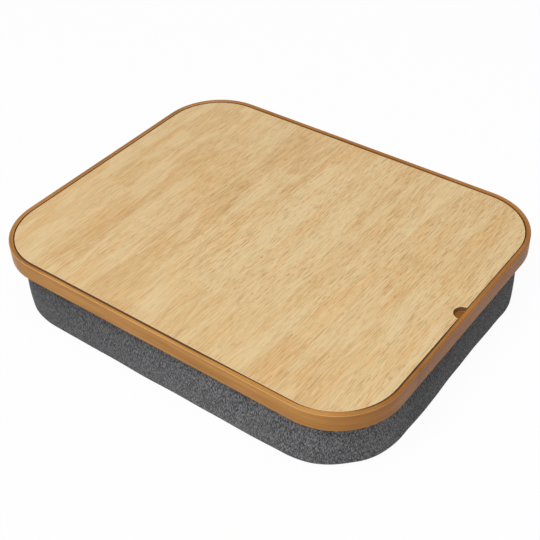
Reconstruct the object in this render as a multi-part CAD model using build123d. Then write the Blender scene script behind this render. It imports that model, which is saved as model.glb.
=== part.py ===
from build123d import *
import os
from math import cos, hypot, pi, radians, sin

# Lap tray with a cushion: a loose lid on a ledge inside a bent bamboo hoop, over a shallow storage recess,
# and a boxed fabric cushion under the hoop.
# Lengths are millimetres and angles are degrees. X runs along the long side, Y away from the user, Z up.
# The origin is the middle of the underside, on the surface that the cushion stands on.

# Overall size
tray_length = 400.0
tray_depth = 320.0
rim_height = 17.5
cushion_height = 54.5

# Bent hoop: a flat strip bent round the tray, its arrises eased, rabbeted below for the floor board
rim_wall = 4.0
rim_corner_radius = 60.0
rim_top_outer_round = 1.4
rim_top_inner_arris = 0.5
rim_bottom_arris = 0.6
rabbet_depth = 1.5
glue_line = 0.1

# Lid: a board between a printed sheet and a backing sheet, loose in the hoop
lid_gap = 1.0
lid_below_rim = 1.2
lid_core_thickness = 4.2
top_sheet_thickness = 0.5
backing_sheet_thickness = 0.3
lid_arris = 0.3
notch_radius = 7.5

# Storage recess: a floor board and the ledge on it that carries the lid
floor_thickness = 3.0
ledge_width = 12.0
ledge_arris = 0.6
ledge_joint_gap = 0.2

# Cushion cover: one side band and one bottom panel, sewn together under the edge
cover_thickness = 1.0
hem_width = 15.0
seam_height = 2.0
seam_gap = 0.4

# Cushion form: how far the sides lie inside the hoop, how they are drawn in above and tucked in below
cushion_set_back = 4.8
cushion_draw_in = 4.4
cushion_side_bow = 0.8
cushion_top_radius = 49.0
cushion_bottom_radius = 69.0
top_edge_round = 2.2
under_edge_height = 6.0
under_edge_tuck = 9.0
crown_reach = 7.0
crown_rise = 0.6

# How the draw-in grows from the widest height to the top: share of the height, share of the draw-in
draw_in_shares = ((0.0, 0.0), (0.17, 0.13), (0.33, 0.28), (0.5, 0.45), (0.67, 0.63), (0.83, 0.81), (1.0, 1.0))
under_edge_turn_shares = (0.0, 0.4, 0.75)
top_edge_turn_shares = (0.6, 1.0)

# Filling and plate inside the cover
plate_thickness = 4.0
cover_clearance = 0.3

# Countersunk screws through the floor board into the plate
screw_shank_radius = 1.5
screw_head_radius = 3.0
screw_head_height = 1.7
screw_length = 7.4
screw_drive_width = 0.8
screw_drive_depth = 0.9
screw_drive_span = 3.4
screw_clearance = 0.05
screw_edge_distance = 34.0
screw_columns = 2
screw_rows = 2

# Wire staples through the hem into the plate
staple_crown = 10.0
staple_wire_width = 1.1
staple_wire_thickness = 0.5
staple_leg = 4.2
staple_clearance = 0.05
staple_hem_share = 0.62
staples_per_long_side = 4
staples_per_short_side = 3

# One overrun serves every cut that has to pass right through
overrun = 5.0

# Places that follow from the sizes above
top_z = cushion_height + rim_height
rim_bottom_z = cushion_height
lid_top_z = top_z - lid_below_rim
lid_core_top_z = lid_top_z - top_sheet_thickness
lid_core_bottom_z = lid_core_top_z - lid_core_thickness
lid_bottom_z = lid_core_bottom_z - backing_sheet_thickness
floor_top_z = rim_bottom_z + floor_thickness
plate_top_z = cushion_height - cover_thickness - cover_clearance
plate_bottom_z = plate_top_z - plate_thickness


def rounded_block(inset, corner_radius, low_z, high_z):
    """Solid with the tray's rounded outline, its sides moved in from the hoop's outer face by inset."""
    outline = RectangleRounded(tray_length - 2 * inset, tray_depth - 2 * inset, corner_radius)
    return Pos(0, 0, low_z) * extrude(outline, amount=high_z - low_z)


def parallel_block(inset, low_z, high_z):
    """Solid whose outline runs parallel to the hoop's outer face, inset from it."""
    return rounded_block(inset, rim_corner_radius - inset, low_z, high_z)


def edges_at(solid, height):
    """Edges of a solid that lie flat at one height."""
    return solid.edges().filter_by_position(Axis.Z, height - glue_line / 2, height + glue_line / 2)


# Bent hoop

def make_rim_hoop():
    hoop = parallel_block(0, rim_bottom_z, top_z)
    hoop = fillet(edges_at(hoop, top_z), rim_top_outer_round)
    hoop = chamfer(edges_at(hoop, rim_bottom_z), rim_bottom_arris)
    hoop -= parallel_block(rim_wall, rim_bottom_z - overrun, top_z + overrun)
    top_face = hoop.faces().sort_by(Axis.Z)[-1]
    inner_edges = top_face.inner_wires()[0].edges()
    hoop = chamfer(inner_edges, rim_top_inner_arris)
    rabbet = parallel_block(rim_wall - rabbet_depth, rim_bottom_z - overrun, floor_top_z)
    return hoop - rabbet


# Storage recess

def make_tray_floor():
    inset = rim_wall - rabbet_depth + glue_line
    board = parallel_block(inset, rim_bottom_z, floor_top_z)
    return board - screw_set(screw_clearance)


def ledge_ring():
    """Whole ledge as one ring, from which the rails and the corner pieces are cut."""
    outer_inset = rim_wall + glue_line
    ring = parallel_block(outer_inset, floor_top_z, lid_bottom_z)
    ring -= parallel_block(outer_inset + ledge_width, floor_top_z - overrun, lid_bottom_z + overrun)
    top_face = ring.faces().sort_by(Axis.Z)[-1]
    return chamfer(top_face.inner_wires()[0].edges(), ledge_arris)


def make_ledge_pieces():
    """Four rails along the straight sides and four pieces round the corners, butted end to end."""
    ring = ledge_ring()
    straight_x = tray_length / 2 - rim_corner_radius
    straight_y = tray_depth / 2 - rim_corner_radius
    height = lid_bottom_z - floor_top_z + 2 * overrun
    mid_z = (lid_bottom_z + floor_top_z) / 2
    rail_x = 2 * straight_x - ledge_joint_gap
    rail_y = 2 * straight_y - ledge_joint_gap
    corner_x = tray_length / 2 - straight_x
    corner_y = tray_depth / 2 - straight_y
    pieces = {}
    for name, side in (("front", -1), ("back", 1)):
        window = Pos(0, side * tray_depth / 2, mid_z) * Box(rail_x, tray_depth / 2, height)
        pieces["ledge_rail_" + name] = ring & window
    for name, side in (("left", -1), ("right", 1)):
        window = Pos(side * tray_length / 2, 0, mid_z) * Box(tray_length / 2, rail_y, height)
        pieces["ledge_rail_" + name] = ring & window
    for depth_name, side_y in (("front", -1), ("back", 1)):
        for length_name, side_x in (("left", -1), ("right", 1)):
            place = Pos(side_x * (straight_x + corner_x / 2), side_y * (straight_y + corner_y / 2), mid_z)
            window = place * Box(corner_x, corner_y, height)
            pieces["ledge_corner_" + depth_name + "_" + length_name] = ring & window
    return pieces


def place_on_grid(thing, span_x, span_y, columns, rows):
    """Copies of one thing on a centred grid of columns and rows."""
    copies = []
    for column in range(columns):
        for row in range(rows):
            x = span_x * (column / (columns - 1) - 1 / 2)
            y = span_y * (row / (rows - 1) - 1 / 2)
            copies.append(Pos(x, y, 0) * thing)
    return copies


def screw(growth):
    """Countersunk screw with its head flush in the floor board, grown all round for its hole."""
    shank_r = screw_shank_radius + growth
    head_r = screw_head_radius + growth
    tip_z = floor_top_z - screw_length - growth
    neck_z = floor_top_z - screw_head_height - growth
    section = Polyline(
        (0, tip_z),
        (shank_r, tip_z),
        (shank_r, neck_z),
        (head_r, floor_top_z),
        (0, floor_top_z),
        close=True,
    )
    body = revolve(make_face(Plane.XZ * section), Axis.Z)
    if growth > 0:
        return body
    cross_z = floor_top_z - screw_drive_depth / 2
    for span_x, span_y in ((screw_drive_span, screw_drive_width), (screw_drive_width, screw_drive_span)):
        body -= Pos(0, 0, cross_z) * Box(span_x, span_y, screw_drive_depth)
    return body


def screw_set(growth):
    """All the floor screws, or the holes they go in when grown."""
    reach = 2 * (rim_wall + ledge_width + screw_edge_distance)
    copies = place_on_grid(screw(growth), tray_length - reach, tray_depth - reach, screw_columns, screw_rows)
    return Compound(children=copies)


# Lid

def lid_layer(low_z, high_z):
    """One layer of the lid, with the half-round finger notch in its right edge."""
    inset = rim_wall + lid_gap
    layer = parallel_block(inset, low_z, high_z)
    notch = Cylinder(notch_radius, high_z - low_z + 2 * overrun)
    return layer - Pos(tray_length / 2 - inset, 0, (low_z + high_z) / 2) * notch


def make_lid_pieces():
    top_sheet = lid_layer(lid_core_top_z, lid_top_z)
    return {
        "lid_core": lid_layer(lid_core_bottom_z, lid_core_top_z),
        "lid_top_sheet": chamfer(edges_at(top_sheet, lid_top_z), lid_arris),
        "lid_backing_sheet": lid_layer(lid_bottom_z, lid_core_bottom_z),
    }


# Cushion form

def side_profile():
    """Side of the cushion from the flat underside up to its top: inset, height and corner radius."""
    flat_reach = under_edge_tuck + crown_reach
    points = [(cushion_set_back + flat_reach, 0, cushion_bottom_radius - flat_reach)]
    for turn in under_edge_turn_shares:
        angle = radians(90 * turn)
        tuck = under_edge_tuck * (1 - sin(angle))
        height = crown_rise + under_edge_height * (1 - cos(angle))
        points.append((cushion_set_back + tuck, height, cushion_bottom_radius - tuck))
    widest_z = crown_rise + under_edge_height
    wall_height = cushion_height - top_edge_round - widest_z
    for height_share, draw_share in draw_in_shares:
        inset = cushion_set_back + cushion_draw_in * draw_share
        radius = cushion_bottom_radius + (cushion_top_radius - cushion_bottom_radius) * height_share
        points.append((inset, widest_z + wall_height * height_share, radius))
    for turn in top_edge_turn_shares:
        angle = radians(90 * turn)
        step = top_edge_round * (1 - cos(angle))
        height = cushion_height - top_edge_round * (1 - sin(angle))
        points.append((cushion_set_back + cushion_draw_in + step, height, cushion_top_radius - step))
    return points


def moved_inwards(points, distance):
    """The same profile, moved into the cushion by one distance all along."""
    moved = []
    last = len(points) - 1
    for index, (inset, height, radius) in enumerate(points):
        before = points[max(index - 1, 0)]
        after = points[min(index + 1, last)]
        run = after[0] - before[0]
        climb = after[1] - before[1]
        length = hypot(run, climb)
        step_in = distance * climb / length
        step_up = -distance * run / length
        if index == 0:
            step_in, step_up = 0, distance
        if index == last:
            step_in, step_up = distance, -distance
        moved.append((inset + step_in, height + step_up, radius - step_in))
    return moved


def bowed_outline(inset, height, corner_radius):
    """Rounded outline of the cushion at one height, its four sides bowed out a little."""
    half_x = tray_length / 2 - inset
    half_y = tray_depth / 2 - inset
    corner_x = half_x - cushion_side_bow
    corner_y = half_y - cushion_side_bow
    sides = [
        ThreePointArc((-corner_x, -corner_y), (0, -half_y), (corner_x, -corner_y)),
        ThreePointArc((corner_x, -corner_y), (half_x, 0), (corner_x, corner_y)),
        ThreePointArc((corner_x, corner_y), (0, half_y), (-corner_x, corner_y)),
        ThreePointArc((-corner_x, corner_y), (-half_x, 0), (-corner_x, -corner_y)),
    ]
    face = make_face(sides)
    return Pos(0, 0, height) * fillet(face.vertices(), corner_radius)


def cushion_form(moved_in):
    """Closed form of the cushion, flat where it stands, moved in all round."""
    return loft([bowed_outline(*point) for point in moved_inwards(side_profile(), moved_in)], ruled=True)


def foam_block(moved_in):
    """Foam cut with straight sides: along the cushion's underside, out to its widest height, up to the plate."""
    points = moved_inwards(side_profile(), moved_in)
    under_edge_start = points[1]
    widest = points[1 + len(under_edge_turn_shares)]
    wall_top = points[-1 - len(top_edge_turn_shares)]
    top = (wall_top[0], wall_top[1], widest[2])
    block = loft([bowed_outline(*point) for point in (under_edge_start, widest, top)], ruled=True)
    return block & slab(0, plate_bottom_z)


def slab(low_z, high_z):
    """Block wider than the tray between two heights."""
    block = Box(tray_length, tray_depth, high_z - low_z, align=(Align.CENTER, Align.CENTER, Align.MIN))
    return Pos(0, 0, low_z) * block


# Staples

def staple(growth):
    """U of flat wire, its crown along X at the hem's top face and its legs down."""
    width = staple_wire_width + 2 * growth
    crown_length = staple_crown + 2 * growth
    crown_height = staple_wire_thickness + growth
    crown = Pos(0, 0, cushion_height - crown_height / 2) * Box(crown_length, width, crown_height)
    leg_height = staple_leg + growth
    leg_width = staple_wire_thickness + 2 * growth
    leg_x = (staple_crown - staple_wire_thickness) / 2
    for side in (-1, 1):
        crown += Pos(side * leg_x, 0, cushion_height - leg_height / 2) * Box(leg_width, width, leg_height)
    return crown


def staple_set(growth):
    """Staples along the four sides and one across each corner of the hem."""
    inset = cushion_set_back + cushion_draw_in + hem_width * staple_hem_share
    half_x = tray_length / 2 - inset
    half_y = tray_depth / 2 - inset
    corner_radius = cushion_top_radius - hem_width * staple_hem_share
    straight_x = half_x - corner_radius
    straight_y = half_y - corner_radius
    copies = []
    for index in range(staples_per_long_side):
        x = 2 * straight_x * ((index + 1 / 2) / staples_per_long_side - 1 / 2)
        copies += [Pos(x, side * half_y, 0) * staple(growth) for side in (-1, 1)]
    for index in range(staples_per_short_side):
        y = 2 * straight_y * ((index + 1 / 2) / staples_per_short_side - 1 / 2)
        copies += [Pos(side * half_x, y, 0) * Rot(0, 0, 90) * staple(growth) for side in (-1, 1)]
    for side_x, side_y in ((-1, -1), (1, -1), (1, 1), (-1, 1)):
        x = side_x * (straight_x + corner_radius * cos(pi / 4))
        y = side_y * (straight_y + corner_radius * sin(pi / 4))
        copies.append(Pos(x, y, 0) * Rot(0, 0, -45 * side_x * side_y) * staple(growth))
    return Compound(children=copies)


# Cushion pieces

def make_cushion_pieces():
    cover = cushion_form(0) - cushion_form(cover_thickness)
    top_inset = cushion_set_back + cushion_draw_in

    hem_opening = rounded_block(top_inset + hem_width, cushion_top_radius - hem_width, plate_bottom_z, top_z)
    side_band = (cover & slab(seam_height + seam_gap / 2, top_z)) - hem_opening
    bottom_panel = cover & slab(0, seam_height - seam_gap / 2)

    lining = cover_thickness + cover_clearance
    plate_step = top_edge_round + lining
    plate = rounded_block(top_inset + plate_step, cushion_top_radius - plate_step, plate_bottom_z, plate_top_z)
    holes = staple_set(staple_clearance)
    return {
        "cover_side_band": side_band - holes,
        "cover_bottom_panel": bottom_panel,
        "cushion_plate": plate - holes - screw_set(screw_clearance),
        "foam_core": foam_block(lining),
        "cover_staples": staple_set(0),
    }


def make_parts():
    parts = {
        "rim_hoop": make_rim_hoop(),
        "tray_floor": make_tray_floor(),
        "floor_screws": screw_set(0),
    }
    parts.update(make_ledge_pieces())
    parts.update(make_lid_pieces())
    parts.update(make_cushion_pieces())
    return parts


os.makedirs("parts", exist_ok=True)
for node, shape in make_parts().items():
    export_step(shape, "parts/" + node + ".step")
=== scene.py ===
"""Looks of the lap tray: printed lid, bamboo hoop and ledge, and a cushion in heather cloth."""

import logging
import math
from dataclasses import asdict, dataclass, fields
from enum import Enum
from itertools import accumulate
from types import MappingProxyType
from typing import Any, Callable, Mapping, NamedTuple, Sequence, Union

import bmesh
import bpy
from mathutils import Matrix, Vector, noise


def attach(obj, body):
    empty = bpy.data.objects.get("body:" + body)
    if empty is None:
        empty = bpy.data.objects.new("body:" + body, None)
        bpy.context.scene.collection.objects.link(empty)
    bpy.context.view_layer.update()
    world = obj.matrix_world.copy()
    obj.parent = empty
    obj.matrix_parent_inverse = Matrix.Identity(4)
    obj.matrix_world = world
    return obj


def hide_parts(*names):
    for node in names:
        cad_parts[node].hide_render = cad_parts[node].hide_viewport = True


logging.basicConfig(level=logging.INFO, format="%(message)s")
log = logging.getLogger("lap_tray")

Colour = tuple[float, float, float]
MM = 0.001
NOTHING: Mapping[Any, Any] = MappingProxyType({})

# Centre of one rounded corner that hoop, ledge and lid share; the other three mirror it.
CORNER_X = 140 * MM
CORNER_Y = 100 * MM


# Shader maths

def _operator(operation: str, swapped: bool = False) -> Callable[..., "Signal"]:
    """Makes a method of Signal that adds one Math node.

    Args:
        operation: the Math node's operation.
        swapped: whether the signal is the node's second value.

    Returns:
        The method, which takes the node's other values.
    """
    def method(signal: "Signal", *others: "Feed") -> "Signal":
        """Adds the node and gives its result."""
        feeds = dict(enumerate((*others, signal) if swapped else (signal, *others)))
        return signal.tree.node("ShaderNodeMath", {"operation": operation}, feeds)
    return method


class Signal:
    """A node's output that Python operators work on."""

    __add__ = __radd__ = _operator("ADD")
    __sub__ = _operator("SUBTRACT")
    __rsub__ = _operator("SUBTRACT", swapped=True)
    __mul__ = __rmul__ = _operator("MULTIPLY")
    __truediv__ = _operator("DIVIDE")
    __abs__ = _operator("ABSOLUTE")
    floor = _operator("FLOOR")
    sine = _operator("SINE")
    root = _operator("SQRT")
    at_least = _operator("MAXIMUM")
    at_most = _operator("MINIMUM")
    bounced = _operator("PINGPONG")

    def __init__(self, tree: "Tree", socket: bpy.types.NodeSocket) -> None:
        """Keeps the output socket and the tree that its Math nodes are added to."""
        self.tree = tree
        self.socket = socket

    def hypot(self, other: "Signal") -> "Signal":
        """Length of the vector that the two make."""
        return (self * self + other * other).root()

    def zigzag(self, pitch: float) -> "Signal":
        """Rises and falls between 0 and 1, once a pitch."""
        return (self * (2 / pitch)).bounced(1.0)

    def ramped(self, low: float, high: float) -> "Signal":
        """Smooth step from 0 at low to 1 at high.

        Args:
            low: value that gives 0.
            high: value that gives 1; below low, the step runs the other way.

        Returns:
            The step.
        """
        settings = {"interpolation_type": "SMOOTHSTEP", "clamp": True}
        start, end = (0.0, 1.0) if low < high else (1.0, 0.0)
        values = {0: self, 1: min(low, high), 2: max(low, high), 3: start, 4: end}
        return self.tree.node("ShaderNodeMapRange", settings, values)


Feed = Union[Signal, float, Sequence[float]]


class Spot(NamedTuple):
    """Where a point lies: X, Y, Z, and its reach outwards from the corners' centres."""

    x: Signal
    y: Signal
    z: Signal
    reach: Signal


class Tree:
    """A node tree that is built by calls."""

    def __init__(self, tree: bpy.types.NodeTree) -> None:
        """Empties a tree and keeps its parts."""
        self.nodes, self.links = tree.nodes, tree.links
        self.nodes.clear()

    def node(self, kind: str, settings: Mapping[str, Any] = NOTHING,
             feeds: Mapping[Any, "Feed"] = NOTHING, output: Union[int, str] = 0) -> Signal:
        """Adds one node.

        Args:
            kind: the node's type.
            settings: its settings, set first; "stops" fills a ramp.
            feeds: values or links of its sockets, by number or name.
            output: the output that is returned.

        Returns:
            The chosen output.
        """
        made = self.nodes.new(kind)
        for key, value in settings.items():
            if key == "stops":
                self._fill_ramp(made.color_ramp, value)
            else:
                setattr(made, key, value)
        for key, value in feeds.items():
            if isinstance(value, Signal):
                self.links.new(value.socket, made.inputs[key])
            else:
                made.inputs[key].default_value = value
        return Signal(self, made.outputs[output] if made.outputs else None)

    @staticmethod
    def _fill_ramp(ramp: bpy.types.ColorRamp, stops: Sequence[tuple[float, Colour]]) -> None:
        """Gives a ramp its stops.

        Args:
            ramp: the ramp.
            stops: place and colour of each stop.
        """
        while len(ramp.elements) < len(stops):
            ramp.elements.new(0.5)
        for element, (place, colour) in zip(ramp.elements, stops):
            element.position = place
            element.color = (*colour, 1.0)


class ShaderTree(Tree):
    """The nodes of one material."""

    def __init__(self, name: str) -> None:
        """Starts an empty material.

        Args:
            name: the material's name.
        """
        self.material = bpy.data.materials.new(name)
        self.material.use_nodes = True
        super().__init__(self.material.node_tree)

    def axes(self) -> tuple[Signal, Signal, Signal]:
        """X, Y and Z of the object's own coordinates, in metres."""
        return self.split(self.node("ShaderNodeTexCoord", output="Object"))

    def spot(self) -> Spot:
        """Where a point lies, its reach being the same all along an edge of the hoop or the lid.

        Returns:
            The four numbers.
        """
        x, y, z = self.axes()
        out_x = (abs(x) - CORNER_X).at_least(0.0)
        out_y = (abs(y) - CORNER_Y).at_least(0.0)
        return Spot(x, y, z, out_x.hypot(out_y))

    def split(self, vector: Signal) -> tuple[Signal, Signal, Signal]:
        """Parts of a vector.

        Args:
            vector: the vector.

        Returns:
            Its three parts.
        """
        parts = self.node("ShaderNodeSeparateXYZ", feeds={0: vector})
        owner = parts.socket.node
        return tuple(Signal(self, owner.outputs[i]) for i in range(3))

    def vector(self, x: Feed, y: Feed, z: Feed = 0.0) -> Signal:
        """Vector of three parts."""
        return self.node("ShaderNodeCombineXYZ", feeds={0: x, 1: y, 2: z})

    def noise(self, vector: Signal, detail: float = 3.0, roughness: float = 0.55,
              distortion: float = 0.0) -> Signal:
        """Noise about 0.5 on a vector that is already scaled; detail is its number of octaves."""
        feeds = {"Vector": vector, "Scale": 1.0, "Detail": detail, "Roughness": roughness,
                 "Distortion": distortion}
        return self.node("ShaderNodeTexNoise", feeds=feeds)

    def chance(self, x: Feed, y: Feed = 0.0) -> Signal:
        """Number from 0 to 1 that differs from cell to cell, a cell being two numbers."""
        return self.node("ShaderNodeTexWhiteNoise", {"noise_dimensions": "2D"},
                         {"Vector": self.vector(x, y)}, "Value")

    def mean(self, share: Feed, first: Feed, second: Feed) -> Signal:
        """Mix of two values by the share of the second."""
        return self.node("ShaderNodeMix", {"data_type": "FLOAT"}, {0: share, 2: first, 3: second})

    def colours(self, value: Signal, stops: Sequence[tuple[float, Colour]]) -> Signal:
        """Colour that a ramp gives to a value from 0 to 1; a stop is a place and a colour."""
        return self.node("ShaderNodeValToRGB", {"stops": stops}, {0: value})

    def blend(self, share: Feed, first: Feed, second: Feed, way: str = "MIX") -> Signal:
        """Mix of two colours by the share of the second, in one of the Mix node's ways."""
        feeds = {0: share, 6: self._opaque(first), 7: self._opaque(second)}
        return self.node("ShaderNodeMix", {"data_type": "RGBA", "blend_type": way}, feeds, 2)

    @staticmethod
    def _opaque(colour: Feed) -> Feed:
        """Adds alpha to a plain colour."""
        return colour if isinstance(colour, Signal) else (*colour, 1.0)

    def surface(self, colour: Feed, roughness: Feed, height: Union[Signal, None] = None,
                lift: float = 0.0, constants: Mapping[str, Any] = NOTHING) -> bpy.types.Material:
        """Ends the tree in a principled surface.

        Args:
            colour: base colour.
            roughness: roughness.
            height: height of the relief, from 0 to 1.
            lift: how far a height of 1 stands out, in metres.
            constants: values of sockets that are the same all over.

        Returns:
            The finished material.
        """
        feeds: dict[Any, Feed] = {"Base Color": self._opaque(colour), "Roughness": roughness,
                                  **constants}
        if height is not None:
            relief = {"Strength": 1.0, "Distance": lift, "Height": height}
            feeds["Normal"] = self.node("ShaderNodeBump", feeds=relief)
        shader = self.node("ShaderNodeBsdfPrincipled", feeds=feeds)
        self.node("ShaderNodeOutputMaterial", feeds={"Surface": shader})
        return self.material


# Finishes

@dataclass(frozen=True)
class Grain:
    """Noise with a scale for each coordinate, its octaves, their weight and its warp."""

    scale: tuple[float, float, float]
    detail: float = 3.0
    roughness: float = 0.55
    warp: float = 0.0

    def of(self, tree: ShaderTree, x: Feed, y: Feed, z: Feed = 0.0,
           shift: tuple[Feed, Feed] = (0.0, 0.0)) -> Signal:
        """Reads the noise.

        Args:
            tree: the material's tree.
            x: first coordinate.
            y: second coordinate.
            z: third coordinate, or a number that tells one noise from another.
            shift: what is added to the first two once they are scaled.

        Returns:
            A value about 0.5.
        """
        across, along, through = self.scale
        place = tree.vector(x * across + shift[0], y * along + shift[1], z * through)
        return tree.noise(place, self.detail, self.roughness, self.warp)


@dataclass(frozen=True)
class Band:
    """Smooth step from low to high, which may run down, and the share that it rises to."""

    low: float
    high: float
    share: float = 1.0

    def of(self, value: Signal) -> Signal:
        """Step of a value, from 0 to the share."""
        return value.ramped(self.low, self.high) * self.share

    def up_to_one(self, value: Signal) -> Signal:
        """Step of a value that rises by the share and ends at 1."""
        return self.of(value) + (1 - self.share)


@dataclass(frozen=True)
class PrintedWood:
    """Wood print of glued staves, grain along the tray's depth; its sheet's sides are painted
    shade.
    """

    top_z: float
    stave_width: float = 33 * MM
    stave_length: float = 210 * MM
    stave_offset: float = 0.35
    finger_pitch: float = 3.6 * MM
    finger_length: float = 9 * MM
    finger_share: float = 0.30
    sway_width: float = 7 * MM
    stave_shift: float = 3.7
    sway: Grain = Grain((9, 3, 1), 2.0)
    broad: Grain = Grain((34, 4, 9), 3.0, 0.6, 0.5)
    streak: Grain = Grain((230, 14, 9), 3.0, 0.7)
    flame: Grain = Grain((85, 12, 5), 4.0, 0.62, 0.5)
    cream: Grain = Grain((62, 10, 1), 4.0, 0.62, 0.5)
    crowd: Grain = Grain((50, 12, 1), 3.0, 0.6)
    line: Grain = Grain((1450, 60, 1), 1.0, 0.5)
    dash: Grain = Grain((950, 104, 1), 1.0, 0.5)
    hair: Grain = Grain((880, 22, 1), 1.0, 0.5)
    broad_share: float = 0.16
    streak_share: float = 0.05
    stave_share: float = 0.13
    figure_base: float = 0.400
    tones: Band = Band(0.34, 0.70)
    flames: Band = Band(0.48, 0.64, 0.46)
    creams: Band = Band(0.49, 0.59)
    cream_share: float = 0.55
    cream_clears: float = 0.4
    line_pores: Band = Band(0.59, 0.63, 0.92)
    dash_pores: Band = Band(0.62, 0.66, 0.90)
    crowds: Band = Band(0.34, 0.66, 0.30)
    fewest_pores: float = 0.56
    left_fade: Band = Band(-190 * MM, -40 * MM, 0.45)
    front_fade: Band = Band(-150 * MM, -30 * MM, 0.3)
    pore_share: float = 0.88
    line_glints: Band = Band(0.44, 0.36, 0.45)
    hair_glints: Band = Band(0.42, 0.34, 0.30)
    hair_shades: Band = Band(0.57, 0.66, 0.22)
    # Painted highlight: a lighter band along the sheet's top edge.
    painted_edge_highlight: Band = Band(54.3 * MM, 54.6 * MM, 0.5)
    # Painted shade of the gap round the lid: the sheet's sides and the lower half of its chamfer
    # turn near black.
    shaded_side_depths: tuple[float, float] = (0.20 * MM, 0.32 * MM)
    pale: Colour = (0.740, 0.568, 0.310)
    middle: Colour = (0.672, 0.458, 0.214)
    dark: Colour = (0.590, 0.355, 0.145)
    amber: Colour = (0.720, 0.420, 0.165)
    glint: Colour = (0.814, 0.6248, 0.341)
    pore: Colour = (0.440, 0.215, 0.066)
    # Colours of painted light: side is painted shade of the gap round the lid, edge is a painted
    # highlight.
    side: Colour = (0.060, 0.026, 0.008)
    edge: Colour = (0.830, 0.650, 0.420)
    roughness: float = 0.46
    pore_roughness: float = 0.1
    pore_depth: float = 0.03 * MM
    specular: float = 0.35

    def material(self) -> bpy.types.Material:
        """Builds the material.

        Returns:
            The material.
        """
        tree = ShaderTree("lid_print")
        x, y, z, reach = tree.spot()
        stave = (x / self.stave_width + self.stave_offset).floor()
        fingers = x.zigzag(self.finger_pitch)
        start = (y + tree.chance(stave, 3.0) * self.stave_length) / self.stave_length
        block = (start + fingers * (self.finger_length / self.stave_length)).floor()
        lot = tree.chance(stave, block)
        tone = tree.chance(stave + 17.0, block)
        across = x + (self.sway.of(tree, x, y) - 0.5) * self.sway_width
        shift = lot * self.stave_shift
        both = (shift, shift)

        figure = (self.broad.of(tree, across, y, lot, both) * self.broad_share
                  + self.streak.of(tree, across, y, lot, both) * self.streak_share
                  + self.figure_base + (tone - 0.5) * self.stave_share)
        stops = ((0.0, self.pale), (0.5, self.middle), (1.0, self.dark))
        colour = tree.colours(self.tones.of(figure), stops)
        flame = self.flames.of(self.flame.of(tree, across, y, lot, (shift, 0.0)))
        colour = tree.blend(flame, colour, self.amber)
        cream = self.creams.of(self.cream.of(tree, across, y, 9.0))
        colour = tree.blend(cream * self.cream_share, colour, self.pale)

        line = self.line.of(tree, across, y, lot, both)
        dash = self.dash.of(tree, across, y, 4.0, both)
        hair = self.hair.of(tree, across, y, 6.0, both)
        pores = self.line_pores.of(line).at_least(self.dash_pores.of(dash))
        crowd = self.crowds.of(self.crowd.of(tree, across, y, shift=(shift, 0.0)))
        pores = pores * (crowd + self.fewest_pores) * (1 - cream * self.cream_clears)
        pores = pores * self.left_fade.up_to_one(x) * self.front_fade.up_to_one(y)
        glints = self.line_glints.of(line).at_least(self.hair_glints.of(hair))
        comb = self._comb(tree, start, fingers, stave) * self.finger_share

        # Painted shade: the sheet's sides below its top turn near black, as the gap's shade.
        side_from, side_to = self.shaded_side_depths
        sides = z.ramped(self.top_z - side_from, self.top_z - side_to)
        # Among the layers, the sheet's top edge gets a painted highlight and its sides get painted
        # shade.
        layers = ((glints, self.glint), (comb, self.dark), (self.hair_shades.of(hair), self.dark),
                  (pores * self.pore_share, self.pore), (self.painted_edge_highlight.of(reach), self.edge),
                  (sides, self.side))
        for share, layer in layers:
            colour = tree.blend(share, colour, layer)
        rough = self.roughness + pores * self.pore_roughness
        constants = {"Specular IOR Level": self.specular}
        return tree.surface(colour, rough, 1 - pores, self.pore_depth, constants)

    def _comb(self, tree: ShaderTree, start: Signal, fingers: Signal, stave: Signal) -> Signal:
        """Shade of the finger joints, which stand out on some staves only.

        Args:
            tree: the material's tree.
            start: place along the stave, in stave lengths.
            fingers: zigzag of the joint's fingers.
            stave: number of the stave.

        Returns:
            The shade, from 0 to 1.
        """
        middle = start + self.finger_length / (2 * self.stave_length)
        away = abs((middle + 0.5).floor() - middle) * self.stave_length
        near = away.ramped(self.finger_length * 0.65, self.finger_length * 0.4)
        seen = tree.chance(stave, 8.0).ramped(0.45, 0.55)
        return near * fingers.ramped(0.4, 0.6) * seen


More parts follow.
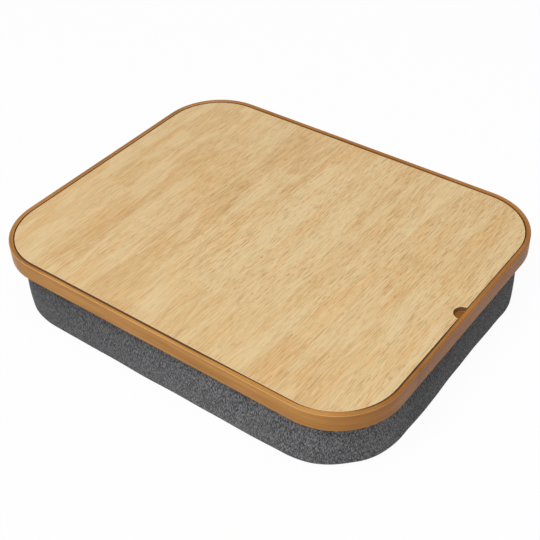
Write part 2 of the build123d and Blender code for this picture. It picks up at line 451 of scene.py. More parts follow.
@dataclass(frozen=True)
class HoopMarks:
    """Marks on the hoop: knuckles, painted shade, painted light and painted shade of the gap.

    The painted shade darkens the top and the inner wall except along the front, where it grows
    towards the left end, and the outer faces towards the far right. A painted highlight runs along
    the outer arris, and painted light brightens the inner wall at the left front. Painted shade of
    the gap lies on the inner edge along the front, and more weakly along the front half of the
    right side.
    """

    knuckles: tuple[tuple[float, float], ...]
    knuckle: Colour = (0.1554, 0.06174, 0.00924)
    knuckle_bend: float = 3 * MM
    knuckle_line: Band = Band(1.2 * MM, 0.3 * MM, 0.40)
    knuckle_breaks: Band = Band(0.40, 0.56)
    knuckle_shade: Band = Band(9 * MM, 1 * MM, 0.20)
    front: Band = Band(-115 * MM, -150 * MM)
    top_face: Band = Band(71.3 * MM, 71.8 * MM)
    inner_wall: Band = Band(57.5 * MM, 57 * MM)
    # Painted shade: the hoop darkens on its top, inner wall, far side and left end.
    painted_shade_tint: Colour = (0.66, 0.51, 0.38)
    top_painted_shade: float = 0.6
    left_painted_shade: Band = Band(60 * MM, -160 * MM, 0.45)
    outside_painted_shade: Band = Band(-60 * MM, 110 * MM)
    # Painted highlight: a lighter line on the outer arris, and painted light on the inner wall at
    # the left front.
    painted_highlight: Colour = (0.900, 0.600, 0.270)
    lit_wall: Band = Band(56.4 * MM, 56.1 * MM, 0.4)
    lit_end: Band = Band(-90 * MM, -150 * MM)
    highlight_reach: Band = Band(59.2 * MM, 59.5 * MM, 0.45)
    highlight_low: Band = Band(70.3 * MM, 70.6 * MM)
    highlight_high: Band = Band(71.4 * MM, 71.1 * MM)
    highlight_cut_by_shade: float = 0.7
    # Painted shade of the gap between lid and hoop, laid on the hoop's inner edge.
    gap_shade: Colour = (0.060, 0.020, 0.004)
    gap_shade_front: Band = Band(178 * MM, 135 * MM)
    gap_shade_weaker: Band = Band(30 * MM, 110 * MM, 0.5)
    gap_shade_right: Band = Band(170 * MM, 192 * MM, 0.55)
    gap_shade_right_run: Band = Band(10 * MM, -50 * MM)
    gap_shade_width: float = 2.2 * MM
    gap_shade_reach: Band = Band(58.25 * MM, 58 * MM, 0.92)
    gap_shade_above: Band = Band(69.6 * MM, 70.2 * MM)

    def on(self, tree: ShaderTree, colour: Signal, spot: Spot, cloud: Signal,
           bundle: Signal) -> Signal:
        """Adds the knuckles, the painted shade and the painted light to the bamboo.

        Args:
            tree: the material's tree.
            colour: the colour so far.
            spot: where the point lies.
            cloud: slow noise of the bamboo.
            bundle: fibre noise of the bamboo.

        Returns:
            The new colour.
        """
        x, y, z, reach = spot
        for place_x, place_y in self.knuckles:
            away = (x - place_x).hypot(y - place_y)
            bent = away + (cloud - 0.5) * self.knuckle_bend
            line = self.knuckle_line.of(bent) * self.knuckle_breaks.of(bundle)
            colour = tree.blend(line + self.knuckle_shade.of(away), colour, self.knuckle)
        # Painted shade on the top, the inner wall and the outer faces.
        front = self.front.of(y)
        top_or_inner = self.top_face.of(z).at_least(self.inner_wall.of(reach))
        on_top = (1 - front) * self.top_painted_shade + front * self.left_painted_shade.of(x)
        depth = tree.mean(top_or_inner, self.outside_painted_shade.of(x * 0.8 + y), on_top)
        colour = tree.blend(depth, colour, self.painted_shade_tint, "MULTIPLY")
        # Painted light on the inner wall at the left front.
        lit = self.lit_wall.of(reach) * self.lit_end.of(x + y * 0.3)
        colour = tree.blend(lit, colour, self.painted_highlight)
        # Painted highlight along the outer arris, weaker where the painted shade is.
        edge = self.highlight_reach.of(reach) * self.highlight_low.of(z) * self.highlight_high.of(z)
        colour = tree.blend(edge * (1 - depth * self.highlight_cut_by_shade), colour, self.painted_highlight)
        # Painted shade of the gap between lid and hoop, on the hoop's inner edge.
        run = front * self.gap_shade_front.of(abs(x)) * (1 - self.gap_shade_weaker.of(x))
        run = run.at_least(self.gap_shade_right.of(x) * self.gap_shade_right_run.of(y))
        within = self.gap_shade_reach.of(reach + (1 - run) * self.gap_shade_width)
        return tree.blend(within * self.gap_shade_above.of(z), colour, self.gap_shade)


class Fibre(Enum):
    """Way that bamboo fibres run."""

    ROUND_THE_HOOP = "round the hoop"
    ALONG_THE_LENGTH = "along the length"


@dataclass(frozen=True)
class Bamboo:
    """Lacquered bamboo with fine fibres, bent round the tray or laid in strips along it."""

    name: str
    pale: Colour
    dark: Colour
    roughness: float
    fibre: Fibre = Fibre.ROUND_THE_HOOP
    coat: float = 0.0
    marks: Union[HoopMarks, None] = None
    strip_width: float = 19 * MM
    strip_slope: float = 0.4
    strip_cloud: Grain = Grain((9, 9, 1))
    bent_cloud: Grain = Grain((14, 14, 60))
    bent_tone: Grain = Grain((14, 14, 60), 2.0)
    fine: Grain = Grain((18, 18, 2200), 3.0, 0.6)
    bundle: Grain = Grain((6, 6, 560))
    fine_share: float = 0.38
    bundle_share: float = 0.38
    cloud_share: float = 0.24
    tone_share: float = 0.2
    tones: Band = Band(0.36, 0.66)
    roughness_spread: float = 0.1
    fibre_depth: float = 0.04 * MM
    coat_roughness: float = 0.2
    specular: float = 0.2

    def material(self) -> bpy.types.Material:
        """Builds the material.

        Returns:
            The material.
        """
        tree = ShaderTree(self.name)
        spot = x, y, z, reach = tree.spot()
        if self.fibre is Fibre.ALONG_THE_LENGTH:
            across = y + z * self.strip_slope
            cloud = self.strip_cloud.of(tree, x, y)
            tone = tree.chance((y / self.strip_width).floor(), 4.0)
        else:
            across = z + reach
            cloud = self.bent_cloud.of(tree, x, y, z)
            tone = self.bent_tone.of(tree, x, y, z)
        fine = self.fine.of(tree, x, y, across)
        bundle = self.bundle.of(tree, x, y, across)
        figure = (fine * self.fine_share + bundle * self.bundle_share + cloud * self.cloud_share
                  + (tone - 0.5) * self.tone_share)
        colour = tree.colours(self.tones.of(figure), ((0.0, self.dark), (1.0, self.pale)))
        if self.marks:
            colour = self.marks.on(tree, colour, spot, cloud, bundle)
        rough = self.roughness + (fine - 0.5) * self.roughness_spread
        constants = {"Coat Roughness": self.coat_roughness, "Coat Weight": self.coat,
                     "Specular IOR Level": self.specular}
        return tree.surface(colour, rough, fine, self.fibre_depth, constants)


@dataclass(frozen=True)
class HeatherCloth:
    """Heather cloth: grey threads of mixed tone, woven one over one, on the piece's own cloth map.

    Painted shade darkens it a little towards the left end and on the right side.
    """

    name: str = "cushion_cloth"
    thread: float = 0.55 * MM
    pale: Colour = (0.300, 0.300, 0.308)
    middle: Colour = (0.100, 0.100, 0.104)
    dark: Colour = (0.020, 0.020, 0.023)
    warp_tone: Grain = Grain((7.31, 390, 1), 1.0, 0.5)
    weft_tone: Grain = Grain((480, 5.77, 1), 1.0, 0.5)
    fleck: Grain = Grain((2100, 1300, 1), 1.0, 0.5)
    slub: Grain = Grain((3.17, 80, 1), 1.0, 0.5)
    cloud: Grain = Grain((60, 45, 1), 2.0)
    warp_over: Band = Band(-0.6, 0.1)
    thread_share: float = 0.68
    fleck_share: float = 0.20
    slub_share: float = 0.12
    cloud_share: float = 0.03
    tones: Band = Band(0.35, 0.65)
    # Painted shade: darker towards the left end, and on the right side back from its front end.
    shaded_right_side: Band = Band(180 * MM, 192 * MM, 0.8)
    shaded_right_run: Band = Band(-110 * MM, -60 * MM)
    shaded_left_end: Band = Band(80 * MM, -190 * MM)
    most_painted_shade: float = 0.50
    roughness: float = 0.92
    relief: float = 0.2 * MM

    def material(self) -> bpy.types.Material:
        """Builds the material.

        Returns:
            The material.
        """
        tree = ShaderTree(self.name)
        around, up, _ = tree.split(tree.node("ShaderNodeUVMap", {"uv_map": "cloth"}))
        warp = (around / self.thread).floor()
        weft = (up / self.thread).floor()
        turn = math.pi / self.thread
        over = (around * turn).sine() * (up * turn).sine()
        warp_tone = self.warp_tone.of(tree, warp, up)
        weft_tone = self.weft_tone.of(tree, around, weft, 7.0)
        fleck = self.fleck.of(tree, around, up, 3.0)
        slub = self.slub.of(tree, warp, up, 11.0)
        cloud = self.cloud.of(tree, around, up)
        under = weft_tone * 0.4 + warp_tone * 0.6
        threads = tree.mean(self.warp_over.of(over), under, warp_tone)
        figure = (threads * self.thread_share + fleck * self.fleck_share + slub * self.slub_share
                  + (cloud - 0.5) * self.cloud_share)
        stops = ((0.0, self.dark), (0.5, self.middle), (1.0, self.pale))
        colour = tree.colours(self.tones.of(figure), stops)
        x, y, _ = tree.axes()
        # Painted shade, blended towards the dark thread colour.
        painted_shade = self.shaded_right_side.of(x) * self.shaded_right_run.of(y)
        painted_shade = painted_shade.at_least(self.shaded_left_end.of(x))
        colour = tree.blend(painted_shade * self.most_painted_shade, colour, self.dark)
        height = abs(over) * 0.6 + fleck * 0.4
        constants = {"Specular IOR Level": 0.2, "Sheen Weight": 0.15, "Sheen Roughness": 0.4}
        return tree.surface(colour, self.roughness, height, self.relief, constants)


@dataclass(frozen=True)
class PlainFinish:
    """A finish with one colour that varies a little and a fine grain."""

    name: str
    pale: Colour
    dark: Colour
    roughness: float
    grain: float
    lift: float = 0.02 * MM
    metal: float = 0.0
    tones: Band = Band(0.3, 0.7)
    roughness_spread: float = 0.12

    def material(self) -> bpy.types.Material:
        """Builds the material.

        Returns:
            The material.
        """
        tree = ShaderTree(self.name)
        place = tree.vector(*(axis / self.grain for axis in tree.axes()))
        speck = tree.noise(place, 3.0, 0.6)
        colour = tree.colours(self.tones.of(speck), ((0.0, self.dark), (1.0, self.pale)))
        rough = self.roughness + (speck - 0.5) * self.roughness_spread
        return tree.surface(colour, rough, speck, self.lift, {"Metallic": self.metal})


# Meshes

class Workshop:
    """Shared steps of making and dressing pieces."""

    @staticmethod
    def piece(name: str, mesh: bpy.types.Mesh, material: bpy.types.Material) -> bpy.types.Object:
        """Puts a mesh into the scene as a piece.

        Args:
            name: the piece's name.
            mesh: its mesh, already in place.
            material: its finish.

        Returns:
            The new object.
        """
        mesh.materials.clear()
        mesh.materials.append(material)
        made = bpy.data.objects.new(name, mesh)
        bpy.context.scene.collection.objects.link(made)
        return made

    @staticmethod
    def dress(finishes: Mapping[Union[Bamboo, PlainFinish, PrintedWood], Sequence[str]]) -> None:
        """Gives CAD nodes their finishes.

        Args:
            finishes: names of the nodes that get each finish.
        """
        for finish, names in finishes.items():
            material = finish.material()
            for name in names:
                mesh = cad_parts[name].data
                mesh.materials.clear()
                mesh.materials.append(material)
                log.info("dressed %s in %s", name, material.name)

    @staticmethod
    def baked(source: bpy.types.Object) -> bpy.types.Mesh:
        """New mesh of an object with its modifiers applied."""
        view = bpy.context.evaluated_depsgraph_get()
        return bpy.data.meshes.new_from_object(source.evaluated_get(view), depsgraph=view)


# Stitches

@dataclass
class SeamStitches:
    """Row of thread stitches that follows a closed line, laid by Geometry Nodes."""

    pitch: float = 4.0 * MM
    length: float = 3.0 * MM
    width: float = 0.7 * MM
    height: float = 0.5 * MM
    slant: float = 8.0

    def mesh(self, line: Sequence[Vector], thread: bpy.types.Material) -> bpy.types.Mesh:
        """Lays the stitches and turns them into a plain mesh.

        Args:
            line: points of the closed line.
            thread: the stitches' finish.

        Returns:
            One mesh of all stitches.
        """
        base = bpy.data.meshes.new("seam_line")
        edges = [(index, (index + 1) % len(line)) for index in range(len(line))]
        base.from_pydata([tuple(point) for point in line], edges, [])
        carrier = bpy.data.objects.new("seam_line", base)
        bpy.context.scene.collection.objects.link(carrier)
        nodes = carrier.modifiers.new("stitches", "NODES")
        nodes.node_group = group = self._group()
        values = {**asdict(self), "slant": math.radians(self.slant), "thread": thread}
        for item in group.interface.items_tree:
            if item.name in values:
                nodes[item.identifier] = values[item.name]
        stitches = Workshop.baked(carrier)
        bpy.data.objects.remove(carrier)
        log.info("laid %d stitch faces by Geometry Nodes", len(stitches.polygons))
        return stitches

    @staticmethod
    def _group() -> bpy.types.NodeTree:
        """Builds the nodes that set a small oval stitch at each step of the line.

        Returns:
            The tree, whose inputs have the names of this class's sizes.
        """
        group = bpy.data.node_groups.new("seam_stitches", "GeometryNodeTree")
        sizes = dict.fromkeys((field.name for field in fields(SeamStitches)), "Float")
        for name, kind in {"Geometry": "Geometry", "thread": "Material", **sizes}.items():
            group.interface.new_socket(name, in_out="INPUT", socket_type=f"NodeSocket{kind}")
        group.interface.new_socket("Geometry", in_out="OUTPUT", socket_type="NodeSocketGeometry")
        tree = Tree(group)
        entry = tree.node("NodeGroupInput").socket.node
        given = {socket.name: Signal(tree, socket) for socket in entry.outputs if socket.name}
        run = tree.node("GeometryNodeMeshToCurve", feeds={"Mesh": given["Geometry"]})
        spots = tree.node("GeometryNodeCurveToPoints", {"mode": "LENGTH"},
                          {"Curve": run, "Length": given["pitch"]}, "Points")
        tangent = Signal(tree, spots.socket.node.outputs["Tangent"])
        along = tree.node("FunctionNodeAlignRotationToVector", {"axis": "X"}, {"Vector": tangent})
        lean = tree.node("FunctionNodeAxisAngleToRotation",
                         feeds={"Axis": (0.0, 0.0, 1.0), "Angle": given["slant"]})
        turned = tree.node("FunctionNodeRotateRotation", {"rotation_space": "LOCAL"},
                           {"Rotation": along, "Rotate By": lean})
        ball = tree.node("GeometryNodeMeshUVSphere",
                         feeds={"Segments": 6, "Rings": 5, "Radius": 0.5})
        size = tree.node("ShaderNodeCombineXYZ",
                         feeds={0: given["length"], 1: given["width"], 2: given["height"]})
        stitch = tree.node("GeometryNodeTransform", feeds={"Geometry": ball, "Scale": size})
        laid = tree.node("GeometryNodeInstanceOnPoints",
                         feeds={"Points": spots, "Instance": stitch, "Rotation": turned})
        plain = tree.node("GeometryNodeRealizeInstances", feeds={"Geometry": laid})
        smooth = tree.node("GeometryNodeSetShadeSmooth", feeds={"Geometry": plain})
        done = tree.node("GeometryNodeSetMaterial",
                         feeds={"Geometry": smooth, "Material": given["thread"]})
        tree.node("NodeGroupOutput", feeds={"Geometry": done})
        return group


# Tray: hoop, ledge, floor board and screws

@dataclass
class Tray:
    """Bent bamboo hoop with the storage recess inside it."""

    half_length: float = 200 * MM
    half_depth: float = 160 * MM

    def build(self) -> None:
        """Dresses the CAD nodes of the tray."""
        marks = HoopMarks(knuckles=(
            (-155 * MM, -self.half_depth),
            (self.half_length, -75 * MM),
            (90 * MM, self.half_depth),
            (-self.half_length, 40 * MM),
        ))
        hoop = Bamboo("hoop_bamboo", (0.55, 0.264, 0.060), (0.37, 0.147, 0.022), roughness=0.46,
                      coat=0.03, marks=marks)
        # The ledge is the same bamboo as the hoop, made darker as painted shade of the recess under
        # the lid.
        ledge = Bamboo("shaded_ledge_bamboo", (0.29, 0.120, 0.022), (0.20, 0.076, 0.013), roughness=0.5)
        board = Bamboo("board_bamboo", (0.70, 0.47, 0.22), (0.55, 0.33, 0.13), roughness=0.5,
                       fibre=Fibre.ALONG_THE_LENGTH)
        steel = PlainFinish("screw_zinc", (0.62, 0.62, 0.60), (0.45, 0.45, 0.44), roughness=0.34,
                            grain=0.6 * MM, metal=1.0)
        rails = [f"ledge_rail_{side}" for side in ("front", "back", "left", "right")]
        corners = [f"ledge_corner_{a}_{b}" for a in ("front", "back") for b in ("left", "right")]
        Workshop.dress({hoop: ["rim_hoop"], ledge: rails + corners, board: ["tray_floor"],
                        steel: ["floor_screws"]})


# Lid

@dataclass
class Lid:
    """Loose lid board between its printed sheet and its backing."""

    top_z: float = 70.8 * MM

    def build(self) -> None:
        """Dresses the CAD nodes of the lid."""
        core = PlainFinish("lid_fibre", (0.300, 0.155, 0.066), (0.215, 0.105, 0.042),
                           roughness=0.8, grain=0.7 * MM)
        backing = PlainFinish("lid_paper", (0.66, 0.53, 0.36), (0.58, 0.45, 0.29),
                              roughness=0.7, grain=2.5 * MM)
        Workshop.dress({PrintedWood(self.top_z): ["lid_top_sheet"], core: ["lid_core"],
                        backing: ["lid_backing_sheet"]})


# Cushion

@dataclass
class Cushion:
    """Padded cloth cushion under the hoop."""

    half_length: float = 200 * MM
    half_depth: float = 160 * MM
    top_z: float = 54.2 * MM
    set_back: float = 4.8 * MM
    draw_in: float = 4.4 * MM
    draw_curve: float = 1.15
    side_bow: float = 0.8 * MM
    top_radius: float = 49 * MM
    bottom_radius: float = 69 * MM
    top_round: float = 2.0 * MM
    edge_height: float = 4.8 * MM
    edge_tuck: float = 4.6 * MM
    crown_rise: float = 0.3 * MM
    around: int = 288
    wall_rows: int = 12
    level_rows: int = 3
    edge_turns: tuple[float, ...] = (0, 16, 21, 26, 45, 67.5)
    seam_turn: float = 21
    seam_sink: float = 0.5 * MM
    loose_low: float = 1.5 * MM
    loose_high: float = 51 * MM
    pressure: float = 4.0
    cloth_steps: int = 4
    moments: int = 20
    most_swell: float = 1.2 * MM
    side_width: float = 24 * MM
    slack_rise: float = 1.6
    unevenness: float = 0.7 * MM
    wave_scale: tuple[float, float, float] = (26, 26, 34)
    wave_seed: float = 5
    stand_out: tuple[tuple[float, float], ...] = (
        (0.0, 0.6 * MM), (0.11, 1.2 * MM), (0.15, 2.2 * MM), (0.17, 1.2 * MM),
        (0.19, 0.1 * MM), (0.22, -0.5 * MM), (0.25, 0.0), (0.276, 1.1 * MM),
        (0.328, 0.8 * MM), (0.35, 1.8 * MM), (0.369, 0.8 * MM), (0.387, 0.1 * MM),
        (0.404, 1.0 * MM), (0.61, 1.0 * MM), (0.636, 2.1 * MM), (0.663, 1.6 * MM),
        (0.72, 0.8 * MM), (0.80, 0.6 * MM), (0.89, 1.0 * MM), (1.0, 0.6 * MM))

    def profile(self) -> list[tuple[float, float, float]]:
        """Works out the side from the seam under the edge to the top.

        Returns:
            Inset, height and corner radius of each row.
        """
        rows = []
        for turn in self.edge_turns:
            tuck, height = self._edge(turn)
            sink = self.seam_sink if turn == self.seam_turn else 0.0
            rows.append((self.set_back + tuck, height + sink, self.bottom_radius - tuck))
        widest = self.crown_rise + self.edge_height
        wall = self.top_z - self.top_round - widest
        for step in range(self.wall_rows + 1):
            share = step / self.wall_rows
            inset = self.set_back + self.draw_in * share ** self.draw_curve
            radius = self.bottom_radius + (self.top_radius - self.bottom_radius) * share
            rows.append((inset, widest + wall * share, radius))
        for step in (0.5, 1.0):
            angle = math.radians(90 * step)
            turn = self.top_round * (1 - math.cos(angle))
            height = self.top_z - self.top_round * (1 - math.sin(angle))
            rows.append((self.set_back + self.draw_in + turn, height, self.top_radius - turn))
        return rows

    def _edge(self, turn: float) -> tuple[float, float]:
        """Tuck and height at one place of the rounded lower edge.

        Args:
            turn: degrees round the edge, from 0 under it to 90 at the side.

        Returns:
            How far the place is tucked in, and its height.
        """
        angle = math.radians(turn)
        return (self.edge_tuck * (1 - math.sin(angle)),
                self.crown_rise + self.edge_height * (1 - math.cos(angle)))

    def ring(self, inset: float, radius: float) -> list[tuple[float, float]]:
        """Points round the cushion at one height, starting at the middle of the back.

        Args:
            inset: how far the sides lie inside the hoop's outer face.
            radius: the corners' radius.

        Returns:
            X and Y of each point.
        """
        half_x = self.half_length - inset - self.side_bow
        half_y = self.half_depth - inset - self.side_bow
        flat_x, flat_y = half_x - radius, half_y - radius
        arc = radius * math.pi / 2
        # Straight runs and corners in turn. A straight run leads to the corner or the middle
        # that has its number, and the outline turns by a right angle at each corner.
        runs = (flat_x, arc, 2 * flat_y, arc, 2 * flat_x, arc, 2 * flat_y, arc, flat_x)
        ends = ((flat_x, flat_y), (flat_x, -flat_y), (-flat_x, -flat_y), (-flat_x, flat_y),
                (0.0, flat_y))
        points = []
        for index in range(self.around):
            left, run = sum(runs) * index / self.around, 0
            while left > runs[run]:
                left -= runs[run]
                run += 1
            number, round_corner = divmod(run, 2)
            short = 0.0 if round_corner else runs[run] - left
            angle = math.pi / 2 * (1 - number) - (left / radius if round_corner else 0.0)
            out_x, out_y = math.cos(angle), math.sin(angle)
            end_x, end_y = ends[number]
            x = end_x + radius * out_x - short * out_y
            y = end_y + radius * out_y + short * out_x
            points.append(self._bowed(x, y, out_x, out_y, half_x, half_y))
        return points

    def _bowed(self, x: float, y: float, out_x: float, out_y: float, half_x: float,
               half_y: float) -> tuple[float, float]:
        """Moves a point of the outline out by the bow of its side."""
        bow = out_y ** 2 * (1 - (x / half_x) ** 2) + out_x ** 2 * (1 - (y / half_y) ** 2)
        return x + out_x * self.side_bow * bow, y + out_y * self.side_bow * bow

    def shell(self) -> bpy.types.Mesh:
        """Makes the side as rings and each end as a grid, with a cloth map in metres.

        Returns:
            The closed mesh.
        """
        side = self.profile()
        rows = [[Vector((x, y, z)) for x, y in self.ring(inset, radius)]
                for inset, z, radius in side]
        made = bmesh.new()
        verts = [[made.verts.new(point) for point in row] for row in rows]
        layer = made.loops.layers.uv.new("cloth")
        lengths = self._lengths(rows)
        width, _ = self._columns()
        for low in range(len(verts) - 1):
            for index in range(self.around):
                corners = [(low + up, index + on) for up, on in ((0, 1), (0, 0), (1, 0), (1, 1))]
                face = made.faces.new([verts[row][column % self.around] for row, column in corners])
                for loop, (row, column) in zip(face.loops, corners):
                    loop[layer].uv = (column * width, lengths[row])
        for edge, height in ((verts[0], 0.0), (verts[-1], self.top_z)):
            for face in self._end(made, edge, height):
                for loop in face.loops:
                    loop[layer].uv = loop.vert.co.xy
        for face in made.faces:
            face.smooth = True
        bmesh.ops.recalc_face_normals(made, faces=made.faces)
        mesh = bpy.data.meshes.new("cushion")
        made.to_mesh(mesh)
        made.free()
        return mesh

    def _end(self, made: bmesh.types.BMesh, edge: list[bmesh.types.BMVert],
             height: float) -> list[bmesh.types.BMFace]:
        """Closes one end with a grid whose corners are in the corners of the cushion.

        Args:
            made: the mesh that is being built.
            edge: the ring of vertices that the grid fills.
            height: height of the middle of the grid.

        Returns:
            The new faces.
        """
        _, first = self._columns()
        across = 2 * first
        down = self.around // 2 - across
        ring = edge[-first:] + edge[:-first]
        grid = [[None] * (down + 1) for _ in range(across + 1)]
        for column in range(across + 1):
            grid[column][0] = ring[column]
            grid[column][down] = ring[2 * across + down - column]
        for row in range(1, down):
            grid[across][row] = ring[across + row]
            grid[0][row] = ring[-row]
        for column in range(1, across):
            for row in range(1, down):
                place = self._inside(grid, column, row)
                u, v = column / across, row / down
                rows_in = min(u, 1 - u, v, 1 - v) * min(across, down)
                place.z = height + (place.z - height) * max(0.0, 1 - rows_in / self.level_rows)
                grid[column][row] = made.verts.new(place)
        return [made.faces.new((grid[c][r], grid[c + 1][r], grid[c + 1][r + 1], grid[c][r + 1]))
                for c in range(across) for r in range(down)]

    @staticmethod
    def _inside(grid: list[list[Any]], column: int, row: int) -> Vector:
        """Point of a grid that its four edges give.

        Args:
            grid: vertices by column and row, of which the edges are there.
            column: the point's column.
            row: the point's row.

        Returns:
            The point.
        """
        u, v = column / (len(grid) - 1), row / (len(grid[0]) - 1)
        edges = (grid[column][0].co * (1 - v) + grid[column][-1].co * v
                 + grid[0][row].co * (1 - u) + grid[-1][row].co * u)
        corners = (grid[0][0].co * (1 - u) * (1 - v) + grid[-1][0].co * u * (1 - v)
                   + grid[0][-1].co * (1 - u) * v + grid[-1][-1].co * u * v)
        return edges - corners

    def _columns(self) -> tuple[float, int]:
        """Divides the cloth round the widest part into columns.

        Returns:
            Width of a column, and number of the one up the middle of the first corner.
        """
        flat_x = self.half_length - self.bottom_radius
        flat_y = self.half_depth - self.bottom_radius
        arc = self.bottom_radius * math.pi / 2
        width = 4 * (flat_x + flat_y + arc) / self.around
        return width, round((flat_x + arc / 2) / width)

    @staticmethod
    def _lengths(rows: list[list[Vector]]) -> list[float]:
        """Length of cloth from the first row to each row, along the first column."""
        steps = ((after[0] - before[0]).length for before, after in zip(rows, rows[1:]))
        return list(accumulate(steps, initial=0.0))

    def swell(self, cushion: bpy.types.Object) -> None:
        """Blows the side out a little by cloth simulation, held at the hoop and on the underside.

        Args:
            cushion: the cushion, whose mesh takes the swollen shape.
        """
        mesh = cushion.data
        start = [vertex.co.copy() for vertex in mesh.vertices]
        held = cushion.vertex_groups.new(name="held")
        ends = [index for index, place in enumerate(start)
                if not self.loose_low < place.z < self.loose_high]
        held.add(ends, 1.0, "REPLACE")
        cloth = cushion.modifiers.new("cloth", "CLOTH")
        cloth.settings.quality = self.cloth_steps
        cloth.settings.use_pressure = True
        cloth.settings.uniform_pressure_force = self.pressure
        cloth.settings.vertex_group_mass = "held"
        cloth.settings.effector_weights.gravity = 0
        for moment in range(1, self.moments + 1):
            bpy.context.scene.frame_set(moment)
        view = bpy.context.evaluated_depsgraph_get()
        swollen = [vertex.co.copy() for vertex in cushion.evaluated_get(view).data.vertices]
        cushion.modifiers.remove(cloth)
        cushion.vertex_groups.clear()
        most = max((after - before).length for before, after in zip(start, swollen))
        for vertex, before, after in zip(mesh.vertices, start, swollen):
            vertex.co = before + (after - before) * min(1.0, self.most_swell / most)
        bpy.context.scene.frame_set(1)
        log.info("swelled the cushion: %.1f mm at most, kept to %.1f mm",
                 most / MM, self.most_swell / MM)

    def uneven(self, place: Vector, share: float) -> Vector:
        """Place of a point of the cloth once the filling makes it uneven, none of it at the hoop.

        Args:
            place: the point.
            share: how far round the cushion the point is, from the middle of the back, clockwise.

        Returns:
            The moved point.
        """
        out = Vector((place.x, place.y, 0)).normalized()
        below = max(0.0, 1 - place.z / self.top_z)
        slack = min(1.0, self.slack_rise * below)
        near = max(0.0, 1 - (self.half_depth - abs(place.y)) / self.side_width,
                   1 - (self.half_length - abs(place.x)) / self.side_width)
        across, along, up = self.wave_scale
        spot = Vector((place.x * across, place.y * along, place.z * up + self.wave_seed))
        wave = self.unevenness * below * noise.noise(spot)
        return place + out * ((self._stood_out(share) * slack + wave) * min(1.0, 2 * near))

    def _stood_out(self, share: float) -> float:
        """How far the side stands out at one place.

        Args:
            share: share of the way round, from the middle of the back, clockwise.

        Returns:
            The distance.
        """
        for (low, first), (high, second) in zip(self.stand_out, self.stand_out[1:]):
            if share <= high:
                step = (share - low) / (high - low)
                return first + (second - first) * step * step * (3 - 2 * step)
        return self.stand_out[-1][1]

    @staticmethod
    def _share_round(place: Vector) -> float:
        """Share of the way round, from the middle of the back, clockwise from above."""
        return (math.atan2(place.x, place.y) / (2 * math.pi)) % 1.0

    def _stitch(self) -> None:
        """Sews the bottom panel to the side band under the lower edge."""
        tuck, height = self._edge(self.seam_turn)
        line = []
        for x, y in self.ring(self.set_back + tuck, self.bottom_radius - tuck):
            place = Vector((x, y, height + self.seam_sink * 0.5))
            line.append(self.uneven(place, self._share_round(place)))
        thread = PlainFinish("seam_thread", (0.10, 0.10, 0.105), (0.05, 0.05, 0.053),
                             roughness=0.7, grain=0.4 * MM)
        material = thread.material()
        seam = Workshop.piece("cover_seam_stitches", SeamStitches().mesh(line, material), material)
        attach(seam, "tray")

    def build(self) -> None:
        mesh = self.shell()
        cushion = Workshop.piece("cushion", mesh, HeatherCloth().material())
        self.swell(cushion)
        for vertex in mesh.vertices:
            vertex.co = self.uneven(vertex.co, self._share_round(vertex.co))
        smooth = cushion.modifiers.new("smooth", "SUBSURF")
        smooth.levels = 1
        smooth.render_levels = 1
        cushion.data = Workshop.baked(cushion)
        cushion.modifiers.clear()
        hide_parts("cover_side_band", "cover_bottom_panel", "foam_core")
        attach(cushion, "tray")
        log.info("made cushion with %d faces", len(cushion.data.polygons))
        self._stitch()
        ply = PlainFinish("plate_ply", (0.62, 0.44, 0.24), (0.5, 0.33, 0.17),
                          roughness=0.7, grain=2 * MM)
        wire = PlainFinish("staple_zinc", (0.6, 0.6, 0.6), (0.45, 0.45, 0.45), roughness=0.4,
                           grain=0.5 * MM, metal=1.0)
        Workshop.dress({ply: ["cushion_plate"], wire: ["cover_staples"]})


# Studio

@dataclass
class Camera:
    """The photograph's camera, found by fitting the object's outlines."""

    azimuth: float = 38.101
    elevation: float = 40.125
    roll: float = -2.222
    distance: float = 863.5 * MM
    target: tuple[float, float, float] = (35.86 * MM, -44.98 * MM, 70.8 * MM)
    focal_pixels: float = 1017.59
    frame_pixels: float = 540.0
    sensor: float = 36.0
    nearest: float = 0.01
    farthest: float = 50

    def build(self) -> None:
        """Makes the camera."""
        turn = (Matrix.Rotation(math.radians(self.azimuth), 4, "Z")
                @ Matrix.Rotation(math.radians(90 - self.elevation), 4, "X")
                @ Matrix.Rotation(math.radians(self.roll), 4, "Z"))
        away = Matrix.Translation((0, 0, self.distance))
        data = bpy.data.cameras.new("camera")
        data.sensor_width = self.sensor
        data.lens = self.focal_pixels * self.sensor / self.frame_pixels
        data.clip_start = self.nearest
        data.clip_end = self.farthest
        camera = bpy.data.objects.new("camera", data)
        camera.matrix_world = Matrix.Translation(self.target) @ turn @ away
        bpy.context.scene.collection.objects.link(camera)
        bpy.context.scene.camera = camera


@dataclass(frozen=True)
class SoftBox:
    """One rectangular studio lamp."""

    name: str
    place: tuple[float, float, float]
    size: float
    power: float
    aim: tuple[float, float, float] = (0.0, 0.0, 0.05)

    def build(self) -> None:
        """Makes the lamp."""
        data = bpy.data.lights.new(self.name, "AREA")
        data.shape = "SQUARE"
        data.size = self.size
        data.energy = self.power
        lamp = bpy.data.objects.new(self.name, data)
        way = Vector(self.aim) - Vector(self.place)
        turn = way.to_track_quat("-Z", "Y").to_matrix().to_4x4()
        lamp.matrix_world = Matrix.Translation(self.place) @ turn
        bpy.context.scene.collection.objects.link(lamp)


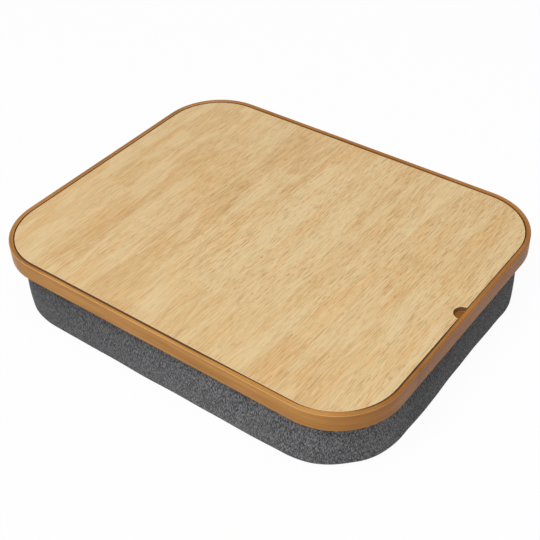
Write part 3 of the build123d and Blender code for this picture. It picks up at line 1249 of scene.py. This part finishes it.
@dataclass
class Studio:
    """Pale floor, white surround and soft lamps."""

    floor_half: float = 6.0
    floor_colour: Colour = (0.80, 0.80, 0.80)
    surround: float = 0.30
    seen_white: float = 0.955
    lamps: tuple[SoftBox, ...] = (
        SoftBox("key", (0.15, -1.4, 2.3), size=1.4, power=46.0),
        SoftBox("overhead", (0.3, 0.0, 2.4), size=1.6, power=10.0),
    )

    def build(self) -> None:
        """Makes the surroundings, the lamps and the camera."""
        self._world()
        self._floor()
        for lamp in self.lamps:
            lamp.build()
        Camera().build()

    @staticmethod
    def _seen(tree: Tree) -> Signal:
        """Whether a ray comes from the camera, a mirror or glass.

        Args:
            tree: the tree that the nodes are added to.

        Returns:
            1 for such a ray, and 0 for others.
        """
        camera = tree.node("ShaderNodeLightPath", output="Is Camera Ray")
        outputs = camera.socket.node.outputs
        glossy = Signal(tree, outputs["Is Glossy Ray"])
        through = Signal(tree, outputs["Is Transmission Ray"])
        return (camera + glossy + through).at_most(1.0)

    def _world(self) -> None:
        """Surround that is white where it is seen and plain where it lights."""
        world = bpy.data.worlds.new("surround")
        world.use_nodes = True
        bpy.context.scene.world = world
        tree = Tree(world.node_tree)
        strength = self._seen(tree) * (1 - self.surround) + self.surround
        feeds = {"Color": (1, 1, 1, 1), "Strength": strength}
        light = tree.node("ShaderNodeBackground", feeds=feeds)
        tree.node("ShaderNodeOutputWorld", feeds={"Surface": light})

    def _floor(self) -> None:
        """Floor that carries the shadow and is white where it is seen."""
        tree = ShaderTree("studio_floor")
        plain = tree.node("ShaderNodeBsdfDiffuse", feeds={"Color": (*self.floor_colour, 1.0)})
        white = tree.node("ShaderNodeEmission", feeds={"Color": (1, 1, 1, 1), "Strength": 1.0})
        share = self._seen(tree) * self.seen_white
        shader = tree.node("ShaderNodeMixShader", feeds={0: share, 1: plain, 2: white})
        tree.node("ShaderNodeOutputMaterial", feeds={"Surface": shader})
        mesh = bpy.data.meshes.new("floor")
        half = self.floor_half
        corners = [(-half, -half, 0), (half, -half, 0), (half, half, 0), (-half, half, 0)]
        mesh.from_pydata(corners, [], [(0, 1, 2, 3)])
        floor = Workshop.piece("floor", mesh, tree.material)


def main() -> None:
    """Builds the looks in order."""
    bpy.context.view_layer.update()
    scene = bpy.context.scene
    scene.view_settings.view_transform = "Standard"
    Studio().build()
    Tray().build()
    Lid().build()
    Cushion().build()


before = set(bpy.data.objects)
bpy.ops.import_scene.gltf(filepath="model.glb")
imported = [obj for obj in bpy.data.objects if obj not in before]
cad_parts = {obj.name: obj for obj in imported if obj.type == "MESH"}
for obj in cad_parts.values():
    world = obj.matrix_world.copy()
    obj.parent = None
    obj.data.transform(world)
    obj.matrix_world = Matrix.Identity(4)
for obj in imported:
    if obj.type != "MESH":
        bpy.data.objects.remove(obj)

if __name__ == "__main__":
    main()
